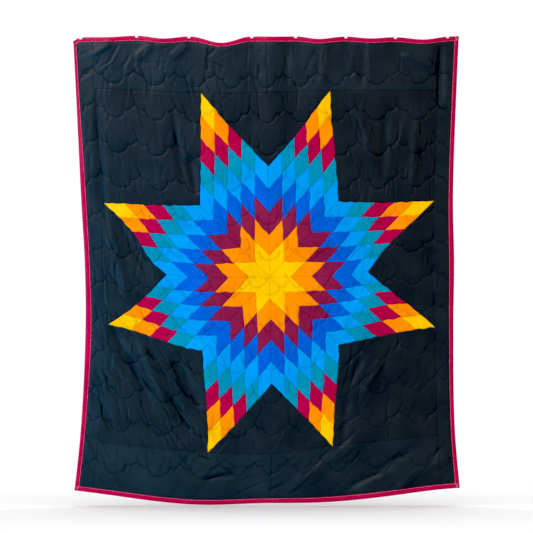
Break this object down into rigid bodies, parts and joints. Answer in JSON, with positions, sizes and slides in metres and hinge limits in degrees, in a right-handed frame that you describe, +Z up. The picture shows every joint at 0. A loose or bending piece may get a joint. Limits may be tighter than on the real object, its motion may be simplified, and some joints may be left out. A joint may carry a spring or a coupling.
{
  "type": "star quilt blanket hanging from small clips",
  "caption": "Quilted blanket with a pieced eight-pointed star, scalloped quilting and a bound edge, hanging by its top edge from small plain clips.",
  "frame": {"origin": "middle of the top edge, on the line of the clips", "axes": "+Z up along the hanging cloth, +X to the viewer's right along the top edge, the patchwork face towards -Y"},
  "size_m": [1.9998, 0.041, 2.4253],
  "materials": {
    "quilt_cotton": "smooth cotton, quilted, pieced in black and star colours",
    "binding_cotton": "smooth cotton, folded and topstitched",
    "clip_plastic": "satin"
  },
  "bodies": {
    "root": {"quilt_body": "quilt_cotton", "binding_top": "binding_cotton", "binding_bottom": "binding_cotton", "binding_left": "binding_cotton", "binding_right": "binding_cotton", "clip_1": "clip_plastic", "clip_2": "clip_plastic", "clip_3": "clip_plastic", "clip_4": "clip_plastic", "clip_5": "clip_plastic", "clip_6": "clip_plastic", "clip_7": "clip_plastic", "clip_8": "clip_plastic"}
  },
  "joints": []
}
